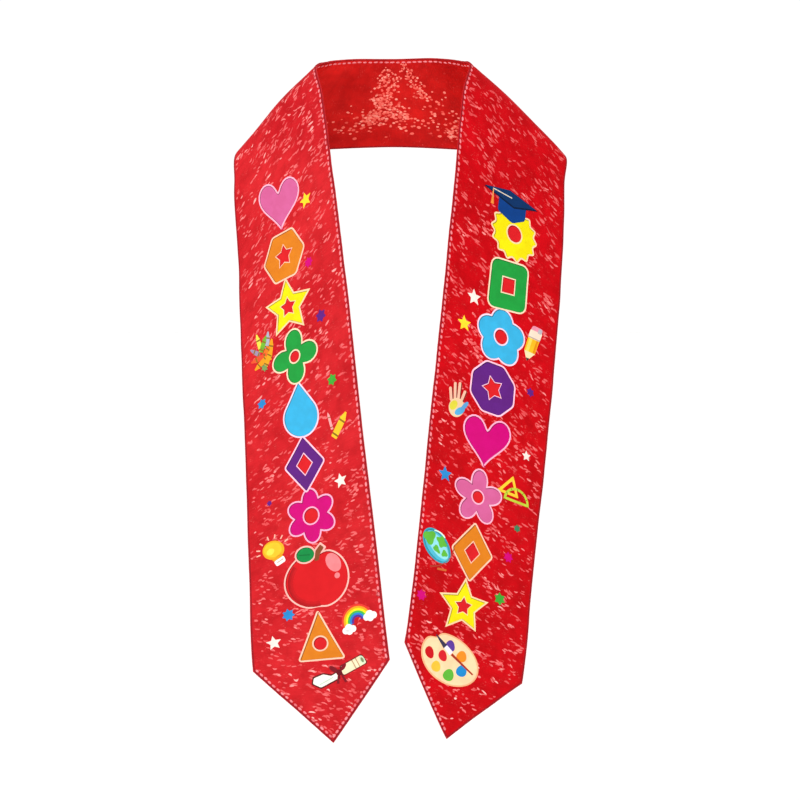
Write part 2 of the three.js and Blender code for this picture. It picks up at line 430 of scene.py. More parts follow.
face_satin = satin("glitter printed satin", "#C51A22", "#D4262C", "#8A1A22", "#C08080", "#F0706C", "#F6508A")
back_satin = satin("plain backing satin", "#B01012", "#C01618", "#7C1218", "#C08080", "#D03A38", "#F2C0C4")
edge_satin = satin("turned satin edge", "#C42A30", "#D03840", "#C8343A", "#C08080", "#E0605E", "#F2C0C4")


def left_point_edge(side):
    """Distance at which the left point's cut edge lies, for each side."""
    return POINT_DEPTH * np.abs(side)


def right_point_edge(side):
    """Distance at which the right point's cut edge lies, for each side."""
    return STRIP_LENGTH - POINT_DEPTH * np.abs(side)


def at_distance(distance):
    """The same distance for every side."""
    return lambda side: distance + 0.0 * side


SEAM_HALF = 0.15 * MM
left_panel = cloth_piece("left_panel_cloth", left_point_edge, at_distance(LEFT_RIDGE - SEAM_HALF),
                         0, CLOTH_WALL, face_satin, back_satin, edge_satin)
right_panel = cloth_piece("right_panel_cloth", at_distance(RIGHT_RIDGE + SEAM_HALF), right_point_edge,
                          0, CLOTH_WALL, face_satin, back_satin, edge_satin)
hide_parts("left_panel")
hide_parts("right_panel")

# The neck band
# The outer layer of the stretch behind the neck, of the same printed satin as the panels. It narrows from
# the shoulders to the nape, and is sewn to the panels along the ridges.
BAND_WALL = 0.8 * MM
band_start = at_distance(LEFT_RIDGE + SEAM_HALF)
band_end = at_distance(RIGHT_RIDGE - SEAM_HALF)
neck_band = cloth_piece("neck_band_cloth", band_start, band_end, LAYER_GAP / 2 + BAND_WALL / 2,
                        BAND_WALL, face_satin, back_satin, edge_satin)
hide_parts("neck_band")

# The neck lining
# The inner layer of the same stretch, which lies on the nape. It is the deeper red backing satin. The light
# makes it brighter in the middle, where it faces the viewer, and darker where it turns away behind the
# panels, and towards the right end a painted shade darkens it more.
lining_satin = satin("neck lining satin", "#C41614", "#EA221E", "#8C1A1E", "#C08080", "#F0605A", "#F6D0D0")
neck_lining = cloth_piece("neck_lining_cloth", band_start, band_end, -LAYER_GAP / 2 - BAND_WALL / 2,
                          BAND_WALL, face_satin, lining_satin, edge_satin)
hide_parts("neck_lining")


# The topstitching
# Coral pink thread runs along the inner edge of the whole strip, and along three of the four edges of the
# points. Each stitch is a short plump dash of spun thread, in a row that draws the cloth in.
def scattered(name, shape, places, raised, material):
    """One mesh of many copies of a small shape, raised from the middle of the cloth. A place is its distance
    and offset from the middle line, its turn, its length, width and tone, and how far its ends bend."""
    corners = np.array([corner.co for corner in shape.verts])
    faces = [[corner.index for corner in face.verts] for face in shape.faces]
    distance, offset, turn, length, width, tone, bend = (column[:, None] for column in np.array(places).T)
    along = corners[:, 0] * length
    across = corners[:, 1] * width + bend * (2 * corners[:, 0]) ** 2
    offset = offset + along * np.cos(turn) - across * np.sin(turn)
    distance = distance + along * np.sin(turn) + across * np.cos(turn)
    outwards = math.copysign(1, raised)
    points = cloth_points(distance, offset / HALF_WIDTH, raised + outwards * corners[:, 2])
    if outwards < 0:
        faces = [face[::-1] for face in faces]
    starts = np.arange(len(places)) * len(corners)
    all_faces = [[start + index for index in face] for start in starts for face in faces]
    mesh = bpy.data.meshes.new(name)
    mesh.from_pydata(points.reshape(-1, 3), [], all_faces)
    # The tone of each copy falls towards its foot: the glitter's dabs thin out at their rims, and on the
    # stitches it is a painted shade, darker where they meet the cloth
    top = corners[:, 2].max()
    thinning_and_base_shade = np.interp(corners[:, 2], [-top, top], [0.25, 1])
    mesh.attributes.new("tone", "FLOAT", "POINT").data.foreach_set("value", (tone * thinning_and_base_shade).ravel())
    return new_object(name, mesh, material)


# How far apart the plies of the thread are
PLY_SPACING = 0.5 * MM
thread, thread_shader = new_material("spun polyester thread", roughness=0.6, specular_ior_level=0.2,
                                     sheen_weight=0.1)
twist_map = add_node(thread, "ShaderNodeTexCoord").outputs["Object"]
# The plies of the thread show as a fine mottle, and its colour differs from stitch to stitch
plies = add_node(thread, "ShaderNodeTexNoise",
                 {0: twist_map, "Scale": 1 / PLY_SPACING, "Detail": 2}).outputs[0]
stitch_tone = add_node(thread, "ShaderNodeAttribute", attribute_name="tone").outputs[2]
thread_tint = mix(thread, ramp(thread, stitch_tone, 0.2, 0.9), linear("#C83C46"), linear("#FF9298"))
thread_tint = mix(thread, ramp(thread, plies, 0.35, 0.6, 0.3, 0), thread_tint, linear("#D4606A"))
thread.node_tree.links.new(thread_tint, thread_shader.inputs["Base Color"])
ply_bump = {"Height": plies, "Strength": 0.5, "Distance": 0.1 * MM}
twisted = add_node(thread, "ShaderNodeBump", ply_bump).outputs[0]
thread.node_tree.links.new(twisted, thread_shader.inputs["Normal"])

stitch = bmesh.new()
bmesh.ops.create_uvsphere(stitch, u_segments=8, v_segments=6, radius=0.5)
bmesh.ops.rotate(stitch, verts=stitch.verts, matrix=Matrix.Rotation(math.pi / 2, 3, "Y"))
bmesh.ops.scale(stitch, verts=stitch.verts, vec=(1, 1, 0.5 * MM))

# How far the thread stands above the cloth's face, and the pitch, length and width of a stitch and the
# deepest of its tones, which run up to 1
THREAD_RISE = 0.2 * MM
FINE_STITCH = (5.2 * MM, 3.9 * MM, 2.3 * MM, 0.4)
LONG_STITCH = (7.7 * MM, 6 * MM, 2.5 * MM, 0.8)
wobble = random.Random(5)


def stitch_row(start, end, kind):
    """Places of the stitches of one row, between two points given by distance and offset."""
    step, dash, wide, deepest = kind
    length = math.dist(start, end)
    turn = math.atan2(end[0] - start[0], end[1] - start[1])
    places = []
    for stitch_number in range(int(length / step)):
        share = (stitch_number + 0.5) * step / length
        middle = [a + (b - a) * share for a, b in zip(start, end)]
        drift = wobble.gauss(0, 0.2 * MM)
        long = dash * wobble.uniform(0.85, 1.1)
        tone = wobble.triangular(deepest, 1, 0.9)
        places.append((middle[0], middle[1] + drift, turn + wobble.gauss(0, 0.07), long, wide, tone, 0))
    return places


def row_corners(inset):
    """The offset of a panel's inner row, and how far from the point the rows turn there and at the hem."""
    inner, tip = inset - HALF_WIDTH, inset / POINT_SLOPE
    return inner, tip, tip - POINT_DEPTH * inner / HALF_WIDTH


left_inner, left_tip, left_corner = row_corners(LEFT_STITCH_INSET)
right_inner, right_tip, right_corner = row_corners(RIGHT_STITCH_INSET)
panel_rows = [
    ((left_corner, left_inner), (LEFT_RIDGE, left_inner)),
    ((left_tip, 0), (left_corner, left_inner)),
    ((left_tip, 0), (left_tip + POINT_DEPTH, HALF_WIDTH)),
    ((RIGHT_RIDGE, right_inner), (STRIP_LENGTH - right_corner, right_inner)),
    ((STRIP_LENGTH - right_corner, right_inner), (STRIP_LENGTH - right_tip, 0)),
]
panel_places = [place for start, end in panel_rows for place in stitch_row(start, end, FINE_STITCH)]
band_row = BAND_STITCH_INSET - HALF_WIDTH
band_places = stitch_row((LEFT_RIDGE, band_row), (RIGHT_RIDGE, band_row), LONG_STITCH)
band_skin = LAYER_GAP / 2 + BAND_WALL
panel_skin = CLOTH_WALL / 2 + THREAD_RISE
panel_topstitch = scattered("panel_topstitch", stitch, panel_places, panel_skin, thread)
panel_understitch = scattered("panel_understitch", stitch, panel_places, -panel_skin, thread)
band_topstitch = scattered("band_topstitch", stitch, band_places, band_skin, thread)
band_understitch = scattered("band_understitch", stitch, band_places, -band_skin, thread)

# The glitter
# The face is printed all over with short pale strokes, like scattered rice. They lie across the strip, singly
# or in small sheaves, and are thin dabs of pearly ink. The lining and the panels' backs have rounder ones,
# pale dabs that paint the glints of their glitter.
PEARL_HEIGHT = 0.12 * MM
GRIT_WIDTH = 0.6 * MM


def glitter_ink(name, deep, middle, pale):
    """Ink with fine glitter in it, from a thin deep tone to a thick pale one."""
    ink, shader = new_material(name, roughness=0.4, specular_ior_level=0.3)
    tone = add_node(ink, "ShaderNodeAttribute", attribute_name="tone").outputs[2]
    tint = mix(ink, ramp(ink, tone, 0, 0.5), linear(deep), linear(middle))
    tint = mix(ink, ramp(ink, tone, 0.5, 1), tint, linear(pale))
    ink.node_tree.links.new(tint, shader.inputs["Base Color"])
    # The grit of the glitter roughens it, coarser than real so that it shows
    place = add_node(ink, "ShaderNodeTexCoord").outputs["Object"]
    grit = add_node(ink, "ShaderNodeTexNoise", {0: place, "Scale": 1 / GRIT_WIDTH}).outputs[0]
    bump_inputs = {"Height": grit, "Strength": 0.3, "Distance": 0.1 * MM}
    ink.node_tree.links.new(add_node(ink, "ShaderNodeBump", bump_inputs).outputs[0], shader.inputs["Normal"])
    return ink


pearl = glitter_ink("pearl glitter ink", "#D2262C", "#EA6A6A", "#FFDCD2")
coral = glitter_ink("coral glitter ink", "#E02A20", "#FF6C5C", "#FFB6A2")

streak = bmesh.new()
bmesh.ops.create_cone(streak, cap_ends=True, segments=10, radius1=0.5, radius2=0.26, depth=PEARL_HEIGHT)


def inside(distance, offset, margin):
    """Whether a place lies on the strip, with a margin to its edges."""
    side = offset / HALF_WIDTH
    return abs(side) < 1 and outline_edge(np.array(distance), np.array(side)) > margin


# Sheaves of strokes: how many strokes, how far each lies from the one before along and across the strip, and
# how much the lean of a sheaf and of a stroke varies
SHEAF_SIZES = (1, 1, 2, 2, 3, 4)
SHEAF_ALONG = 3.2 * MM
SHEAF_ACROSS = 4 * MM
SHEAF_LEAN = 0.2
STROKE_LEAN = 0.16
# A stroke: its least, greatest and commonest length and width in mm, its deepest and palest tone, how much
# the tone varies in a sheaf, how much its ends bend as a share of its length, and how near an edge it may be
STROKE_LENGTHS = (2.6, 11, 5)
STROKE_WIDTHS = (1.3, 3.4, 2)
DEEPEST_STROKE, PALEST_STROKE = 0.12, 0.9
STROKE_TONE = 0.1
STROKE_BEND = 0.16
STROKE_MARGIN = 1 * MM


def streak_places(start, end, sheaves, slopes, paleness, seed):
    """Strokes in sheaves, side by side, across a stretch of the strip. slopes tells how far they turn from
    the cross lines, and paleness scales their tone. Both are given at even steps from ridge to point."""
    chance = random.Random(seed)
    places = []
    for _ in range(sheaves):
        distance, offset = chance.uniform(start, end), chance.uniform(-HALF_WIDTH, HALF_WIDTH)
        hang = max(LEFT_RIDGE - distance, distance - RIGHT_RIDGE, 0) / LEFT_RIDGE
        lean = chance.gauss(np.interp(hang, np.linspace(0, 1, len(slopes)), slopes), SHEAF_LEAN)
        shine = chance.betavariate(1.8, 2.7) * np.interp(hang, np.linspace(0, 1, len(paleness)), paleness)
        for _ in range(chance.choice(SHEAF_SIZES)):
            distance += chance.gauss(0, SHEAF_ALONG)
            offset += chance.gauss(0, SHEAF_ACROSS)
            long = chance.triangular(*STROKE_LENGTHS) * MM
            wide = chance.triangular(*STROKE_WIDTHS) * MM
            tone = min(PALEST_STROKE, max(DEEPEST_STROKE, shine + chance.gauss(0, STROKE_TONE)))
            bend = chance.gauss(0, STROKE_BEND) * long
            if inside(distance, offset, long / 2 + STROKE_MARGIN):
                turn = lean + chance.gauss(0, STROKE_LEAN)
                places.append((distance, offset, turn, long, wide, tone, bend))
    return places


# How many sheaves a panel and the band have, how near the ridges they come, and for each panel the slopes in
# radians and the paleness
PANEL_SHEAVES = 840
BAND_SHEAVES = 300
RIDGE_MARGIN = 3 * MM
LEFT_SLOPES = (-0.16, -0.12, -0.12, -0.05, 0.25, 0.42)
LEFT_PALENESS = (0.84, 0.7, 0.7, 0.64, 0.76, 0.78)
RIGHT_SLOPES = (0.08, 0.14, 0.08, 0.08, 0.22, -0.08)
RIGHT_PALENESS = (0.34, 0.7, 0.64, 0.7, 0.6, 1.25)
left_streaks = streak_places(0, LEFT_RIDGE - RIDGE_MARGIN, PANEL_SHEAVES, LEFT_SLOPES, LEFT_PALENESS, 11)
right_streaks = streak_places(RIGHT_RIDGE + RIDGE_MARGIN, STRIP_LENGTH, PANEL_SHEAVES, RIGHT_SLOPES,
                              RIGHT_PALENESS, 12)
band_streaks = streak_places(LEFT_RIDGE + RIDGE_MARGIN, RIGHT_RIDGE - RIDGE_MARGIN, BAND_SHEAVES, (0, 0),
                             (0.8, 0.8), 13)
left_glitter = scattered("left_panel_glitter", streak, left_streaks, CLOTH_WALL / 2, pearl)
right_glitter = scattered("right_panel_glitter", streak, right_streaks, CLOTH_WALL / 2, pearl)
band_glitter = scattered("neck_band_glitter", streak, band_streaks, band_skin, pearl)

# Clouds of glints on the lining, painted highlights: pale dabs of glitter ink, gathered where the lining's
# glitter catches the light. Each row: past the nape, side, spread along and across in mm, and how many
GLINT_CLOUDS = [
    (-13, -0.58, 4, 5, 44),
    (0, -0.52, 2.5, 5, 22),
    (9, -0.85, 2.5, 2.5, 16),
    (17, -0.6, 3, 5, 30),
    (25, -0.28, 4, 6, 44),
    (-11, -0.06, 7, 8, 150),
    (-20, 0.34, 6, 5, 80),
    (3, 0.18, 4.5, 5, 30),
    (46, 0.62, 6, 4, 44),
    (58, 0.4, 5, 5, 26),
    (4, 0.42, 34, 7, 100),
    (30, 0.1, 16, 9, 30),
    (-45, 0.55, 9, 5, 14),
]
# A glint's least, greatest and commonest length in mm, the share of STRIP_WIDTH that the lining has at the
# nape, by which the clouds' spread across is divided, and a glint's least distance to an edge
GLINT_LENGTHS = (2, 5.2, 3.2)
NAPE_SHARE = 0.7
GLINT_MARGIN = 3 * MM
glint_chance = random.Random(14)
glint_places = []
for past, glint_side, spread_along, spread_across, how_many in GLINT_CLOUDS:
    for _ in range(how_many):
        glint_distance = NAPE + glint_chance.gauss(past, spread_along) * MM
        glint_offset = glint_side * HALF_WIDTH + glint_chance.gauss(0, spread_across) * MM / NAPE_SHARE
        glint_long = glint_chance.triangular(*GLINT_LENGTHS) * MM
        glint = (glint_distance, glint_offset, math.pi / 2 + glint_chance.gauss(0, 0.3), glint_long,
                 glint_chance.uniform(0.8, 1.15) * glint_long, glint_chance.betavariate(2.4, 2.2), 0)
        if inside(glint_distance, glint_offset, GLINT_MARGIN):
            glint_places.append(glint)
lining_glitter = scattered("neck_lining_glitter", streak, glint_places, -band_skin, coral)


# The clouds on a panel's back: how many, how many glints in one, their spread along and across in mm, a
# glint's least, greatest and commonest length in mm, and its least distance to an edge
BACK_CLOUDS = 26
BACK_CLOUD_SIZES = (4, 9, 16, 24)
BACK_SPREAD_ALONG = 17
BACK_SPREAD_ACROSS = 11
BACK_GLINT_LENGTHS = (2, 4.8, 3)
BACK_MARGIN = 5 * MM


def back_glints(start, end):
    """Loose clouds of the lining's glints, pale dabs that paint highlights, on a panel's back."""
    places = []
    for _ in range(BACK_CLOUDS):
        cloud = glint_chance.uniform(start, end), glint_chance.uniform(-0.8, 0.8) * HALF_WIDTH
        for _ in range(glint_chance.choice(BACK_CLOUD_SIZES)):
            distance = cloud[0] + glint_chance.gauss(0, BACK_SPREAD_ALONG) * MM
            offset = cloud[1] + glint_chance.gauss(0, BACK_SPREAD_ACROSS) * MM
            long = glint_chance.triangular(*BACK_GLINT_LENGTHS) * MM
            if inside(distance, offset, BACK_MARGIN):
                places.append((distance, offset, glint_chance.gauss(1.5, 0.3), long, 0.9 * long,
                               glint_chance.betavariate(2, 2.6), 0))
    return places


left_back_glints = back_glints(0, LEFT_RIDGE)
right_back_glints = back_glints(RIGHT_RIDGE, STRIP_LENGTH)
left_back = scattered("left_back_glitter", streak, left_back_glints, -CLOTH_WALL / 2, coral)
right_back = scattered("right_back_glitter", streak, right_back_glints, -CLOTH_WALL / 2, coral)

# The print
# Bright school pictures and plain shapes are printed down the middle of each panel, in thick smooth ink. Each
# big shape has a pale rim, tinted with its own colour, and a thin shadow inside it at the upper left.

# The height of one level of ink, how many levels lie under the first one, the widest cell of ink that stays
# flat, how near a cut may pass a corner, and the angle past which an edge stays sharp
INK_LAYER = 0.05 * MM
BASE_LEVELS = 2
INK_CELL = 3 * MM
CUT_TOLERANCE = 1e-8
INK_SHARP_EDGE = math.radians(40)
# The rim and the shadow inside it, whose light is a share of the shape's own
RIM_WIDTH = 1.5 * MM
SHADOW_WIDTH = 0.5 * MM
SHADOW_SHIFT = 0.28 * MM
SHADOW_DEPTH = 0.35
# The share of the strip's slant that a picture evens out, and the steps along the strip and aside by which it
# measures the slant
UNSLANT = 0.35
STEP_ALONG = 1 * MM
STEP_ASIDE = 0.02
PINK, ORANGE, YELLOW, GREEN = "#CF5F94", "#D87C1A", "#ECDE08", "#1F983C"
SKY, PURPLE, MAGENTA, APPLE_RED = "#38ADDB", "#5D207B", "#CA0074", "#D2181E"
WHITE, NAVY, BLUE, STAR_WHITE = "#F6F2F0", "#0A305F", "#2A86C8", "#F4E2D8"
STAR_GOLD, STAR_GREEN, CLOTH_RED, CLOTH_SHADOW = "#FFD92E", "#3FA535", "#D41C22", "#8E1420"
# The tint of the rim round each colour
RIMS = {PINK: "#FFB2CA", MAGENTA: "#FFAECC", ORANGE: "#FFC8AC", YELLOW: "#FCD4A4", GREEN: "#F2D8B6",
        SKY: "#F0D2E4", PURPLE: "#FCC4DA", APPLE_RED: "#FFBCB0"}
BROWN, PARCHMENT, LEAF = "#8A4A2B", "#FBE6BE", "#5DB23A"
ink_colours = []


def colour_number(hex_colour, depth=1.0):
    """The number of a colour in the print, darkened to a share of its light."""
    colour = tuple(channel * depth for channel in linear(hex_colour)[:3]) + (1.0,)
    if colour not in ink_colours:
        ink_colours.append(colour)
    return ink_colours.index(colour)


def spun(reach, wide=1.0, high=1.0, points=40):
    """A closed outline round a centre, whose reach is a number or a formula of the angle."""
    outline = []
    for step in range(points):
        angle = 2 * math.pi * step / points
        radius = reach(angle) if callable(reach) else reach
        outline.append((radius * wide * math.cos(angle), radius * high * math.sin(angle)))
    return outline


def star(reach, waist, points=5):
    """A star's outline, one point up."""
    angles = [math.pi * (0.5 + step / points) for step in range(2 * points)]
    reaches = [reach, reach * waist] * points
    return [(r * math.cos(angle), r * math.sin(angle)) for r, angle in zip(reaches, angles)]


def block(wide, high, taper=1.0):
    """An upright rectangle's outline, its top narrowed by taper."""
    foot, top = wide / 2, wide * taper / 2
    return [(-foot, -high / 2), (foot, -high / 2), (top, high / 2), (-top, high / 2)]


def arch(outer, inner, start=0.0, end=math.pi, points=18):
    """The outline of a bent band between two radii."""
    angles = [start + (end - start) * step / points for step in range(points + 1)]
    outside = [(outer * math.cos(angle), outer * math.sin(angle)) for angle in angles]
    return outside + [(inner * math.cos(angle), inner * math.sin(angle)) for angle in reversed(angles)]


def heart(reach):
    """A heart's outline, with a soft dip above and a soft point below."""
    outline = []
    for step in range(48):
        angle = 2 * math.pi * step / 48
        wide = 12.7 * math.sin(angle) - 3.3 * math.sin(3 * angle)
        high = 13 * math.cos(angle) - 5 * math.cos(2 * angle) - 2 * math.cos(3 * angle) - math.cos(4 * angle)
        outline.append((wide * reach / 16, (high + 2) * reach / 16))
    return outline


class Print:
    """The ink on one panel. A picture's place is how far below the shoulder ridge it lies, and its side."""

    def __init__(self, ridge, up):
        self.ridge, self.up, self.film = ridge, up, bmesh.new()
        self.below = self.side = self.lean = self.level_out = 0

    def picture_at(self, below, side, unslant=UNSLANT, lean=0):
        """Starts a picture round a new place, leaning by some degrees, and evens out a share of the slant
        that the strip has there."""
        self.below, self.side, self.lean = below * MM, side, math.radians(lean)
        distance = self.ridge - self.up * self.below
        distances = [distance, distance, distance + self.up * STEP_ALONG]
        spots = cloth_points(distances, [side, side - self.up * STEP_ASIDE, side], 0)
        across, along = spots[1] - spots[0], spots[2] - spots[0]
        slant = across @ along / np.linalg.norm(across) / np.linalg.norm(along)
        self.level_out = unslant * slant

    def ink(self, outline, colour, level=1, at=(0, 0), turn=0, rounding=0, rim=None, frame=0):
        """Prints one form, in mm from the picture's place. rim is the colour round it, and frame a width, for
        a form with an open middle."""
        form = bmesh.new()
        form.faces.new([form.verts.new((x * MM, y * MM, 0)) for x, y in outline])
        bmesh.ops.rotate(form, verts=form.verts, matrix=Matrix.Rotation(math.radians(turn), 3, "Z"))
        bmesh.ops.translate(form, verts=form.verts, vec=(at[0] * MM, at[1] * MM, 0))
        bmesh.ops.rotate(form, verts=form.verts, matrix=Matrix.Rotation(self.lean, 3, "Z"))
        if rounding:
            bmesh.ops.bevel(form, geom=form.verts[:], offset=rounding * MM, segments=4, profile=0.5,
                            affect="VERTICES", material=-1)
        form.faces.ensure_lookup_table()
        inner = form.faces[0]
        if rim:
            inner.material_index = colour_number(rim)
            bmesh.ops.inset_region(form, faces=[inner], thickness=RIM_WIDTH, use_boundary=True,
                                   use_even_offset=True)
            inner.material_index = colour_number(colour, SHADOW_DEPTH)
            bmesh.ops.inset_region(form, faces=[inner], thickness=SHADOW_WIDTH, use_boundary=True,
                                   use_even_offset=True)
            bmesh.ops.translate(form, verts=inner.verts, vec=(SHADOW_SHIFT, -SHADOW_SHIFT, 0))
        inner.material_index = colour_number(colour)
        if frame:
            bmesh.ops.inset_region(form, faces=[inner], thickness=frame * MM, use_boundary=True,
                                   use_even_offset=True)
            bmesh.ops.delete(form, geom=[inner], context="FACES_ONLY")
        bmesh.ops.triangulate(form, faces=form.faces)
        # Cut along a grid, so that the ink bends with the cloth
        for axis in (0, 1):
            places = [corner.co[axis] for corner in form.verts]
            for cut in range(math.ceil(min(places) / INK_CELL), math.ceil(max(places) / INK_CELL)):
                plane = [0, 0, 0]
                plane[axis] = 1
                geometry = form.verts[:] + form.edges[:] + form.faces[:]
                at_cut = [cut * INK_CELL * share for share in plane]
                bmesh.ops.bisect_plane(form, geom=geometry, dist=CUT_TOLERANCE, plane_co=at_cut,
                                       plane_no=plane)
        raised = bmesh.ops.extrude_face_region(form, geom=form.faces[:], use_keep_orig=True)["geom"]
        raised = [part for part in raised if isinstance(part, bmesh.types.BMVert)]
        bmesh.ops.translate(form, verts=raised, vec=(0, 0, (level + BASE_LEVELS) * INK_LAYER))
        flat = np.array([corner.co for corner in form.verts])
        flat[:, 1] -= self.level_out * flat[:, 0]
        distance = self.ridge - self.up * (self.below - flat[:, 1])
        offset = self.side * HALF_WIDTH - self.up * flat[:, 0]
        points = cloth_points(distance, offset / HALF_WIDTH, CLOTH_WALL / 2 - INK_LAYER + flat[:, 2])
        for corner, point in zip(form.verts, points):
            corner.co = point
        bmesh.ops.recalc_face_normals(form, faces=form.faces)
        inked = bpy.data.meshes.new("inked")
        form.to_mesh(inked)
        form.free()
        self.film.from_mesh(inked)
        bpy.data.meshes.remove(inked)

    def finish(self, name, material):
        """Makes the panel's ink one piece, with its colours as an attribute."""
        mesh = bpy.data.meshes.new(name)
        self.film.to_mesh(mesh)
        self.film.free()
        numbers = np.empty(len(mesh.polygons), dtype=np.int32)
        mesh.polygons.foreach_get("material_index", numbers)
        sizes = np.empty(len(mesh.polygons), dtype=np.int32)
        mesh.polygons.foreach_get("loop_total", sizes)
        colours = np.array(ink_colours)[np.repeat(numbers, sizes)]
        mesh.attributes.new("ink", "FLOAT_COLOR", "CORNER").data.foreach_set("color", colours.ravel())
        mesh.polygons.foreach_set("material_index", np.zeros_like(numbers))
        made = new_object(name, mesh, material)
        mesh.set_sharp_from_angle(angle=INK_SHARP_EDGE)
        return made


# How wide the stretches are over which the ink's cover varies, and how wide the threads under it look
COVER_WIDTH = 9 * MM
THREADS_UNDER = 0.8 * MM
ink_film, ink_shader = new_material("smooth plastisol ink", roughness=0.42, specular_ior_level=0.08)
ink_tint = add_node(ink_film, "ShaderNodeAttribute", attribute_name="ink").outputs[0]
ink_map = add_node(ink_film, "ShaderNodeTexCoord").outputs["Object"]
# The ink's cover varies a little, and the cloth's threads show through it as faint bumps, drawn coarser than
# real so that they show
cover = add_node(ink_film, "ShaderNodeTexNoise",
                 {0: ink_map, "Scale": 1 / COVER_WIDTH, "Detail": 3}).outputs[0]
thin_ink = mix(ink_film, 0.1, ink_tint, linear("#C05050"), "MULTIPLY")
ink_tint = mix(ink_film, ramp(ink_film, cover, 0.4, 0.6), thin_ink, ink_tint)
ink_film.node_tree.links.new(ink_tint, ink_shader.inputs["Base Color"])
threads_under = add_node(ink_film, "ShaderNodeTexNoise", {0: ink_map, "Scale": 1 / THREADS_UNDER}).outputs[0]
under_bump = {"Height": threads_under, "Strength": 0.2, "Distance": 0.1 * MM}
under_threads = add_node(ink_film, "ShaderNodeBump", under_bump).outputs[0]
ink_film.node_tree.links.new(under_threads, ink_shader.inputs["Normal"])

left_print = Print(LEFT_RIDGE, 1)
right_print = Print(RIGHT_RIDGE, -1)


def petals(count, reach, depth):
    """A flower's outline, or a clover's."""

    def edge(angle):
        return reach * (1 - depth + depth * abs(math.cos(count * (angle - math.pi / 2) / 2)))

    return spun(edge, points=12 * count)


def grown(outline, size):
    """An outline made larger about its middle."""
    return [(x * size, y * size) for x, y in outline]


def drop(reach):
    """The outline of a drop of water, its tip up."""
    # The belly is round through 242 degrees, and the sides run straight from its ends to the tip
    belly, sink, tip = 0.76, 0.24, 1.1
    angles = [math.radians(149 + 242 * step / 32) for step in range(33)]
    round_belly = [(belly * math.cos(angle), belly * math.sin(angle) - sink) for angle in angles]
    return grown([(0, tip), *round_belly], reach)


def scallops(angle):
    """The reach of a rosette."""
    return 21 + 1.4 * math.cos(14 * angle)


CIRCLE, HEXAGON, OCTAGON = spun(1), spun(1, points=6), spun(1, points=8)
DIAMOND, TRIANGLE = spun(1, wide=0.8, points=4), spun(1, wide=1.25, points=3)

# Big shapes down the middle: panel, below, side, outline, size, colour, rounding, turn, the share of the
# slant that is evened out, and the outline and size of the window through which the cloth shows
BIG_SHAPES = [
    (left_print, 97, 0.07, heart(1), 26, PINK, 0, 0, 0.8, None, 0),
    (left_print, 147, 0.06, HEXAGON, 26, ORANGE, 3, 0, 0.5, star(1, 0.55), 9.5),
    (left_print, 195, 0.06, star(1, 0.5), 28, YELLOW, 0, 0, 0.6, star(1, 0.55), 8),
    (left_print, 243, 0.02, petals(4, 1, 0.45), 26, GREEN, 0, 0, 0.5, CIRCLE, 4.5),
    (left_print, 294, 0.0, drop(1), 25.5, SKY, 0, 0, 0.7, None, 0),
    (left_print, 344, 0.0, DIAMOND, 27.5, PURPLE, 3, 0, 0.6, DIAMOND, 9),
    (left_print, 393, -0.04, petals(6, 1, 0.3), 26, MAGENTA, 0, 0, 0.5, CIRCLE, 6.5),
    (left_print, 513, -0.02, TRIANGLE, 26, ORANGE, 4, 90, 0.6, CIRCLE, 5.5),
    (right_print, 124, 0.1, spun(scallops, points=112), 1.16, YELLOW, 0, 0, 0.5, CIRCLE, 7),
    (right_print, 174, 0.08, block(1.7, 1.9), 25, GREEN, 8, 0, 0.75, block(1.5, 1.6), 8),
    (right_print, 224, 0.03, petals(5, 1, 0.22), 27, SKY, 0, 0, 0.5, CIRCLE, 6),
    (right_print, 274, -0.02, OCTAGON, 26, PURPLE, 3, 22.5, 0.5, star(1, 0.55), 10),
    (right_print, 324, -0.04, heart(1), 25.5, MAGENTA, 0, 0, 0.7, None, 0),
    (right_print, 377, -0.08, petals(5, 1, 0.42), 26.5, PINK, 0, 0, 0.5, CIRCLE, 5),
    (right_print, 429, -0.08, DIAMOND, 29, ORANGE, 3, 0, 0.5, DIAMOND, 9),
    (right_print, 482, -0.14, star(1, 0.5), 27.5, YELLOW, 0, 0, 0.6, star(1, 0.55), 8),
]
# How far the rim and the shadow of a window reach past it, and where the window lies in its shadow, in mm
WINDOW_RIM = 2
WINDOW_SHADOW = 0.6
WINDOW_SHIFT = (0.3, -0.3)
for number, row in enumerate(BIG_SHAPES):
    panel_print, below, side, outline, size, colour, rounding, turn, unslant, window, window_size = row
    rim = RIMS[colour]
    panel_print.picture_at(below, side, unslant)
    # Neighbours may touch, so they take turns on two levels
    panel_print.ink(grown(outline, size), colour, level=1 + number % 2, turn=turn, rounding=rounding, rim=rim)
    if window:
        panel_print.ink(grown(window, window_size + WINDOW_RIM), rim, level=3, turn=turn)
        panel_print.ink(grown(window, window_size + WINDOW_SHADOW), CLOTH_SHADOW, level=4, turn=turn)
        panel_print.ink(grown(window, window_size), CLOTH_RED, level=5, turn=turn, at=WINDOW_SHIFT)

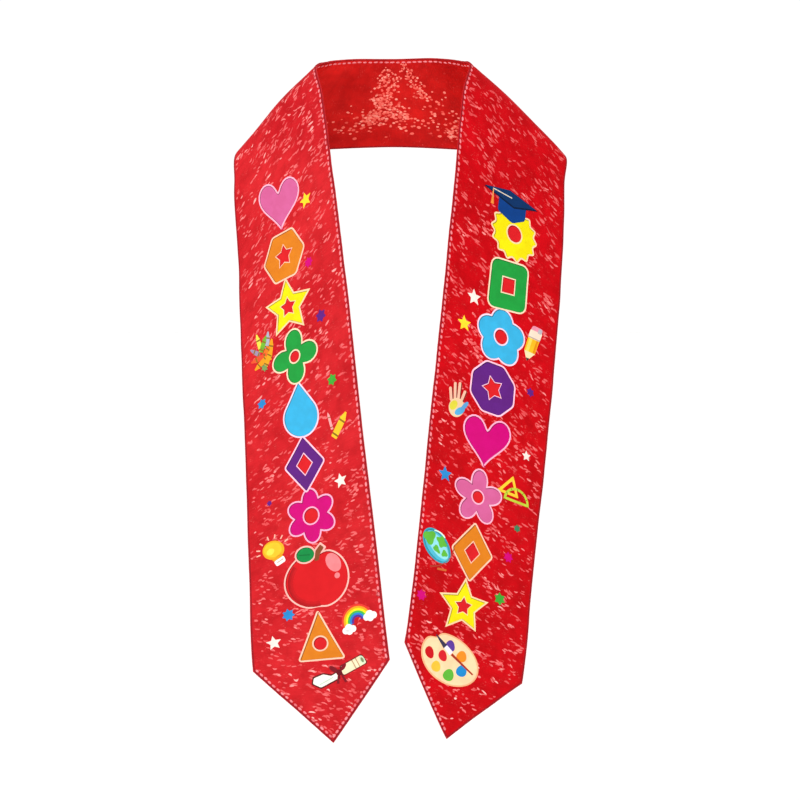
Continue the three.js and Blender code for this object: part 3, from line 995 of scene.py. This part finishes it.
# Small stars and splashes: panel, below, side, reach, colour, points
SMALL_STARS = [
    (left_print, 116, -0.44, 7.5, STAR_GOLD, 5),
    (left_print, 285, -0.58, 5.5, STAR_GREEN, 6),
    (left_print, 373, -0.56, 6.8, STAR_WHITE, 5),
    (left_print, 481, 0.42, 6.5, BLUE, 7),
    (left_print, 507, 0.66, 7.6, STAR_WHITE, 5),
    (left_print, 226, -0.5, 6, PURPLE, 6),
    (left_print, 264, 0.66, 5.5, BLUE, 6),
    (left_print, 365, 0.62, 3, PURPLE, 6),
    (left_print, 172, -0.38, 5, MAGENTA, 7),
    (right_print, 205, -0.48, 7.6, STAR_WHITE, 5),
    (right_print, 233, -0.6, 7.5, STAR_GOLD, 5),
    (right_print, 315, 0.66, 5.2, STAR_WHITE, 5),
    (right_print, 373, -0.66, 7.5, BLUE, 5),
    (right_print, 256, 0.62, 4.5, PURPLE, 6),
    (right_print, 386, 0.64, 4, "#3A7A55", 6),
    (right_print, 417, 0.54, 5.5, MAGENTA, 7),
    (right_print, 488, -0.84, 5.5, MAGENTA, 7),
    (right_print, 460, 0.46, 6.5, STAR_GREEN, 6),
]
# A star of five points has a narrow waist, a splash of more points a wide one, and all lean by some degrees
STAR_WAIST, SPLASH_WAIST = 0.46, 0.62
STAR_LEAN = 8
for panel_print, below, side, reach, colour, points in SMALL_STARS:
    waist = STAR_WAIST if points == 5 else SPLASH_WAIST
    panel_print.picture_at(below, side)
    panel_print.ink(star(reach, waist, points), colour, rounding=0.5, turn=STAR_LEAN)


def apple(panel_print, below, side):
    """A red apple with a leaf, a stalk and two glints."""
    panel_print.picture_at(below, side)

    def skin(angle):
        dimple = 0.2 * math.exp(-(((angle - math.pi / 2) / 0.3) ** 2))
        base = 0.07 * math.exp(-(((angle - 1.5 * math.pi) / 0.22) ** 2))
        return 28.3 * (1 - dimple - base)

    rim = RIMS[APPLE_RED]
    stalk = [(-2.6, -6), (1.8, -6), (3.2, -0.5), (7.8, 4.6), (4.4, 8.2), (-0.8, 3.2)]
    around_stalk = [(-4.4, -7), (3.4, -7), (4.9, -1.2), (10.2, 4.5), (4.6, 10.4), (-2.4, 4.2)]
    panel_print.ink(around_stalk, rim, at=(2, 22), rounding=1)
    panel_print.ink(spun(skin, wide=1.12, points=64), APPLE_RED, level=2, at=(0, -1.2), rim=rim)
    for outer, inner, shade in ((25.4, 24, "#A81218"), (24, 22.4, "#B6141A"), (22.4, 20.4, "#C4161C")):
        panel_print.ink(arch(outer, inner, 2.4, 4.9), shade, level=3, at=(-2.4, -1.6))
    panel_print.ink(spun(8.6, wide=0.75, high=1.1), "#EE8488", level=3, at=(17.4, 11), turn=30)
    panel_print.ink(spun(2.6, points=16), "#EE8488", level=3, at=(20, -1.4))
    panel_print.ink(spun(10.4, high=0.82), "#138A43", level=4, at=(-9, 24), turn=-10, rim=rim)
    panel_print.ink(stalk, BROWN, level=5, at=(2, 22), rounding=1)
    panel_print.ink(block(11, 0.8), "#0C6A33", level=5, at=(-10, 24), turn=-10)


def bulb(panel_print, below, side):
    """A lit bulb with its rays."""
    panel_print.picture_at(below, side)
    panel_print.ink(spun(11, high=0.86), "#F2AE24", at=(-1, 3), turn=-15)
    panel_print.ink(spun(9, high=0.82), "#FBC52D", level=2, at=(-1.6, 3.6), turn=-15)
    panel_print.ink(spun(4, high=0.8), "#FFE24F", level=3, at=(-4, 2), turn=20)
    panel_print.ink(block(9, 5, 1.3), "#E8A020", at=(3, -5.4), turn=28)
    panel_print.ink(block(10, 6, 1.1), WHITE, level=2, at=(5, -9.4), turn=24, rounding=1.6)
    panel_print.ink(block(7, 0.9), "#C9A27C", level=3, at=(5, -9), turn=24)
    for degrees in (30, 55, 82, 108, 140, 168, 190):
        angle = math.radians(degrees)
        at = (-1 + 15.5 * math.cos(angle), 3 + 13.5 * math.sin(angle))
        panel_print.ink(block(4, 1.3), "#F7B8A4", at=at, turn=degrees)


def rainbow(panel_print, below, side):
    """A rainbow on two clouds."""
    panel_print.picture_at(below, side, UNSLANT, 8)
    band, cloud_size = 1.9, 0.95
    for number, colour in enumerate(("#E23B2E", "#F6A623", "#F8E71C", "#43B649", "#2C7FD0", "#5B2E91")):
        panel_print.ink(arch(15 - band * number, 13.1 - band * number, -0.1), colour, at=(1, -2), turn=14)
    for cloud in ((-8.5, -7.5), (13, -1)):
        for lobe, radius in (((-3.6, 0), 3.2), ((0, 1.6), 4), ((3.8, 0.2), 3.2), ((0, -1.2), 3.4)):
            at = [middle + shift * cloud_size for middle, shift in zip(cloud, lobe)]
            panel_print.ink(spun(radius * cloud_size, points=20), WHITE, level=2, at=at)


def scroll(panel_print, below, side):
    """A certificate, half unrolled, tied with a dark ribbon."""
    panel_print.picture_at(below, side, 1)
    outline, ribbon = "#5A1A1C", "#7C1420"
    around_sheet = [(-25, -5.5), (-17, -11), (2, -3.5), (2, 4.5), (-6, 1.5), (-13, 4), (-23, 1.5)]
    sheet = [(-23.6, -5), (-16.8, -9.5), (1, -2.5), (1, 3.3), (-6, 0.1), (-13, 2.7), (-22, 0.2)]
    panel_print.ink(around_sheet, outline, rounding=1)
    panel_print.ink(sheet, "#F6F5E4", level=2, rounding=1)
    panel_print.ink(block(14, 1), "#BFD8C4", level=3, at=(-11, -4), turn=22)
    panel_print.ink(block(26, 10.2, 0.9), outline, at=(15, 7.6), turn=21, rounding=2.2)
    panel_print.ink(block(24.4, 8.6, 0.9), PARCHMENT, level=2, at=(15, 7.6), turn=21, rounding=2)
    for at in ((16, 8), (19.5, 9.4)):
        panel_print.ink(block(1, 8.6), "#B99B74", level=3, at=at, turn=21)
    panel_print.ink(spun(4.2, wide=0.55), "#CFE0BE", level=3, at=(24, 11), turn=21)
    panel_print.ink(spun(2.4, wide=0.5), "#7D8A62", level=4, at=(24, 11), turn=21)
    for at, turn, size in (((-3, 6), 140, 4.4), ((6, 7), 50, 3.6)):
        panel_print.ink(spun(size, wide=1.1, high=0.5, points=20), ribbon, level=3, at=at, turn=turn)
    for at, turn in (((0, -3.4), -10), ((5, -3), 24)):
        panel_print.ink(block(2.4, 9, 0.5), ribbon, level=3, at=at, turn=turn)
    panel_print.ink(spun(2.8, points=16), "#66101C", level=4, at=(1.6, 2.4))


def crayon(panel_print, at, turn, length, wide, colour, level=2):
    """A stick of wax with a blunt tip and two bands."""
    angle = math.radians(turn)
    along = (-math.sin(angle), math.cos(angle))
    panel_print.ink(block(wide, length), colour, level=level, at=at, turn=turn, rounding=wide / 6)
    tip = [a + b * (length / 2 + wide * 0.45) for a, b in zip(at, along)]
    panel_print.ink(block(wide * 0.8, wide * 0.9, 0.35), colour, level=level, at=tip, turn=turn)
    for share in (-0.34, 0.34):
        band = [a + b * length * share for a, b in zip(at, along)]
        panel_print.ink(block(wide, wide * 0.3), "#8A6A1E", level=level + 0.4, at=band, turn=turn)


def crayon_fan(panel_print, below, side):
    """A bunch of crayons and brushes, bright above and orange below."""
    panel_print.picture_at(below, side, 1)
    sticks = [(-8, 0, 62, 8, "#9C8AA4"), (5.5, 9, -10, 12, "#A8AEC0"), (-4, 7.4, 16, 13, "#E6D64A"),
              (0, 6, -26, 12, "#6FB030"), (8, 0, -14, 16, "#F0A21E"), (2.4, -1.6, 146, 15, "#EE7A22"),
              (-3.6, -5, 108, 15, "#E2552E"), (-2, -9.4, 128, 14, "#F29A1E"), (4.4, -7.4, 152, 14, "#F0A21E")]
    for stick_number, (x, y, turn, length, colour) in enumerate(sticks):
        crayon(panel_print, (x, y), turn, length, 4.8, colour, level=2 + 0.8 * stick_number)
    panel_print.ink(star(4, 0.6, 6), "#7A9C5A", level=10, at=(0, -15))


def pencil(panel_print, below, side):
    """A short fat pencil with a rubber in a pale cap."""
    panel_print.picture_at(below, side, 1, -15)
    panel_print.ink(block(12.4, 14, 1.05), "#F9B81F", at=(0, -2))
    panel_print.ink(block(3.4, 14), "#FFD65A", level=2, at=(-3, -2))
    panel_print.ink(block(2.4, 14), "#DD8B12", level=2, at=(4.5, -2))
    panel_print.ink(block(13.6, 8), "#F0DBC4", level=3, at=(0, 8), rounding=0.8)
    panel_print.ink(block(13.6, 1.1), "#B9A59A", level=4, at=(0, 4.8))
    panel_print.ink(block(13.2, 5.4, 0.86), "#E58FA6", level=2, at=(0, 13.6), rounding=2)
    panel_print.ink(block(4.4, 4.4), "#B8B4BC", level=3, at=(3.6, 13.2), rounding=1)
    panel_print.ink([(-6.2, 0), (6.2, 0), (0, -9)], "#F6D9A8", level=2, at=(0, -9))
    panel_print.ink([(-2, 0), (2, 0), (0, -3)], "#2B2B2B", level=3, at=(0, -15))


def handprint(panel_print, below, side):
    """A small handprint in wet paint of several colours."""
    panel_print.picture_at(below, side, 1)
    fingers = [(-6.5, 5, 13, 12), (-2.4, 8, 16, 6), (1.8, 8.4, 16, 0), (6.4, 3.4, 12, -18)]
    for x, y, long, turn in fingers:
        panel_print.ink(block(3.2, long), "#7A2A22", at=(x + 0.8, y - 0.4), turn=turn, rounding=1.4)
        panel_print.ink(block(2.7, long), "#EDB79C", level=2, at=(x, y), turn=turn, rounding=1.2)
    panel_print.ink(spun(8, high=1.1), "#E9C9A0", level=3, at=(1, -7), turn=20)
    panel_print.ink(spun(4.6, high=0.8), "#D8CF3E", level=4, at=(-2.4, -5), turn=60)
    panel_print.ink(spun(5.4, high=0.6), "#52A9D8", level=4, at=(4.6, -10), turn=30)
    panel_print.ink(spun(5, high=0.42), "#5A9ED0", level=4, at=(9, -5), turn=50)


def set_square(panel_print, below, side):
    """A yellow set square and a yellow-green protractor."""
    panel_print.picture_at(below, side)
    panel_print.ink([(-12, -7), (12, -7), (4, 12)], "#F5C933", at=(-3, 4), rounding=0.8, frame=2.6)
    panel_print.ink(arch(14, 0.01, points=24)[:25], "#B9CC3A", level=2, at=(7, -8), frame=2.4)
    for mark in range(7):
        angle = math.radians(mark * 30)
        at = (7 + 12.6 * math.cos(angle), -8 + 12.6 * math.sin(angle))
        panel_print.ink(block(2, 0.5), "#5E6B1E", level=3, at=at, turn=math.degrees(angle))


def globe(panel_print, below, side):
    """A school globe that leans, with made-up lands, on a thin arm."""
    panel_print.picture_at(below, side, 1, 15)
    panel_print.ink(arch(20.2, 19, -1.9, -0.1), "#A8402C", at=(-1, 1), turn=-6)
    panel_print.ink(block(10, 2), "#C8622E", at=(2, -23), turn=-24, rounding=0.8)
    panel_print.ink(spun(19.5, wide=0.55, points=48), "#4FB7CF", turn=28, rim="#2F9DB4")
    panel_print.ink(spun(15.5, wide=0.4, points=40), "#8FD9E0", level=2, at=(1.4, -0.6), turn=28)
    lands = [((-6, 9.4), 6.4, 0.85, 3), ((5.4, 2.4), 6.2, 0.6, 4), ((-0.6, -3), 4.6, 0.5, 3),
             ((6.6, -9), 3.4, 0.8, 3)]
    for at, reach, high, bays in lands:
        coast = spun(lambda angle: reach * (1 + 0.2 * math.sin(bays * angle + reach)), high=high, points=28)
        panel_print.ink(coast, LEAF, level=3, at=at, turn=118)
    panel_print.ink(arch(17.6, 16.4, 0.55, 1.35), "#D8F3E4", level=4, at=(-6.4, -1.4), turn=-8)


def palette(panel_print, below, side):
    """A palette with seven dabs of paint and a brush across it."""
    panel_print.picture_at(below, side, 1, 14)

    def board(angle):
        dent = 0.14 * math.exp(-(((angle - 2.6) / 0.2) ** 2))
        return 33 * (1 - dent)

    panel_print.ink(spun(board, high=0.64, points=60), "#F0B484", turn=-42)
    panel_print.ink(grown(spun(board, high=0.63, points=60), 0.95), "#FBD5A6", level=2, turn=-42)
    dabs = [((-20, 10), 6, 0.66, "#C4121A"), ((-7, 5), 5.6, 0.7, "#D2202A"), ((-14, -4), 5.4, 0.8, "#F2BE3A"),
            ((-2, -14), 5.8, 0.9, LEAF), ((11, -12), 5.6, 0.95, "#1F86C8"), ((12, 1.5), 5.4, 0.95, "#F08C22"),
            ((1.4, 13), 5.6, 0.8, "#5B3B97")]
    for at, reach, wide, colour in dabs:
        dab = spun(lambda angle: reach * (1 + 0.05 * math.sin(3 * angle + reach)), wide=wide, points=28)
        panel_print.ink(dab, colour, level=3, at=at, turn=20)
    panel_print.ink(block(2.4, 30, 0.6), "#A8321E", level=4, at=(12, -6), turn=222)
    panel_print.ink(block(4.6, 10, 0.8), "#ECE7F2", level=4.5, at=(-1.2, 9.8), turn=36)
    panel_print.ink(block(4.6, 15, 0.16), "#3A3552", level=5, at=(-8, 19.2), turn=34)


def mortarboard(panel_print, below, side):
    """A square college cap with a tassel, seen nearly from its edge."""
    panel_print.picture_at(below, side, 0.55)
    panel_print.ink([(-13, 2), (18, 2), (17, -16), (3, -23), (-14, -16)], "#0B3C80", level=6, rounding=2.4)
    panel_print.ink([(-31, 1), (-2, 6.5), (31, -1), (4, -8.5)], "#081C3A", level=7, rounding=0.8)
    panel_print.ink([(-29.6, 1.6), (-2, 6.5), (29, -0.4), (4, -6.8)], NAVY, level=8, rounding=0.8)
    panel_print.ink(block(22, 1), "#D8C9B4", level=9, at=(-10, 1), turn=-4)
    panel_print.ink(block(1.1, 8), "#F0A45A", level=9, at=(-20.6, -3))
    panel_print.ink(block(3.4, 7, 0.5), "#E88A3A", level=9, at=(-20.6, -9))


# Where each picture lies: how far below the ridge in mm, and its side
apple(left_print, 451.6, -0.04)
bulb(left_print, 415.5, 0.58)
rainbow(left_print, 496.2, -0.58)
scroll(left_print, 544.5, -0.22)
crayon_fan(left_print, 216.6, 0.57)
# Two loose crayons make one more picture on the left
left_print.picture_at(327, -0.58, 1)
crayon(left_print, (2, 0), -35, 21, 6, "#FBC32B")
crayon(left_print, (-6, 5), 12, 13, 2.6, "#F2A0A0")
mortarboard(right_print, 94, 0)
pencil(right_print, 210.5, 0.58)
handprint(right_print, 303.4, -0.6)
set_square(right_print, 356, 0.46)
globe(right_print, 438.8, -0.68)
palette(right_print, 535.4, -0.235)
left_print.finish("left_panel_print", ink_film)
right_print.finish("right_panel_print", ink_film)

# The studio
# A wide pale floor under the hanging stole, even white light all round, one large soft lamp at the upper left
# and a weak low one, as for a shop picture. The camera looks slightly down, from well back.
FLOOR_HEIGHT = -0.85
FLOOR_RADIUS = 14
floor_bmesh = bmesh.new()
bmesh.ops.create_circle(floor_bmesh, cap_ends=True, segments=64, radius=FLOOR_RADIUS)
bmesh.ops.translate(floor_bmesh, verts=floor_bmesh.verts, vec=(0, 0, FLOOR_HEIGHT))
floor_mesh = bpy.data.meshes.new("studio_floor")
floor_bmesh.to_mesh(floor_mesh)
floor_bmesh.free()
floor = bpy.data.objects.new("studio_floor", floor_mesh)
bpy.context.scene.collection.objects.link(floor)
floor_paint, _ = new_material("matt white floor paint", base_color=linear("#FDFDFC"), roughness=0.9)
floor_mesh.materials.append(floor_paint)

# The even light all round: near the horizon, overhead, and how high the first one reaches
LOW_LIGHT = (1.04, 1.04, 1.04, 1)
HIGH_LIGHT = (0.5, 0.5, 0.5, 1)
HORIZON_GLOW = 0.15
world = bpy.data.worlds.new("white studio")
world.use_nodes = True
sky_way = add_node(world, "ShaderNodeTexCoord").outputs["Generated"]
sky_height = add_node(world, "ShaderNodeSeparateXYZ", {0: sky_way}).outputs[2]
sky_rise = ramp(world, sky_height, HORIZON_GLOW, 2 * HORIZON_GLOW)
sky_light = mix(world, sky_rise, LOW_LIGHT, HIGH_LIGHT)
world.node_tree.links.new(sky_light, world.node_tree.nodes["Background"].inputs["Color"])
bpy.context.scene.world = world
bpy.context.scene.view_settings.view_transform = "Standard"

# The camera: what it looks at, how far it tilts down and stands off, the size of a pixel at its aim, and the
# photo's width in pixels
AIM = Vector((3.8, -70, -283.1)) * MM
CAMERA_TILT = math.radians(4)
CAMERA_DISTANCE = 2.6
PIXEL_AT_AIM = 0.95 * MM
PHOTO_WIDTH = 800


def placed(name, data, where, target):
    """Adds a lamp or camera that looks at the target."""
    made = bpy.data.objects.new(name, data)
    made.location = where
    made.rotation_euler = (target - Vector(where)).to_track_quat("-Z", "Y").to_euler()
    bpy.context.scene.collection.objects.link(made)
    return made


overhead = bpy.data.lights.new("overhead_light", "SUN")
overhead.energy, overhead.angle = 1.7, math.radians(60)
placed("overhead_light", overhead, (0, -0.4, 2), Vector((0, 0, 0)))
softbox = bpy.data.lights.new("softbox", "AREA")
softbox.shape = "RECTANGLE"
softbox.size, softbox.size_y, softbox.energy = 1.4, 1.8, 18.9
placed("softbox", softbox, (-1.5, -2.4, 0.9), AIM)
fill = bpy.data.lights.new("fill_light", "AREA")
fill.shape = "RECTANGLE"
fill.size, fill.size_y, fill.energy = 0.6, 0.6, 2.5
placed("fill_light", fill, (-0.1, -1.5, -0.5), Vector((-0.02, -0.08, -0.5)))

lens = bpy.data.cameras.new("studio_camera")
lens.sensor_width = 36
lens.lens = lens.sensor_width * CAMERA_DISTANCE / PIXEL_AT_AIM / PHOTO_WIDTH
view_line = Vector((0, math.cos(CAMERA_TILT), -math.sin(CAMERA_TILT)))
bpy.context.scene.camera = placed("studio_camera", lens, AIM - view_line * CAMERA_DISTANCE, AIM)
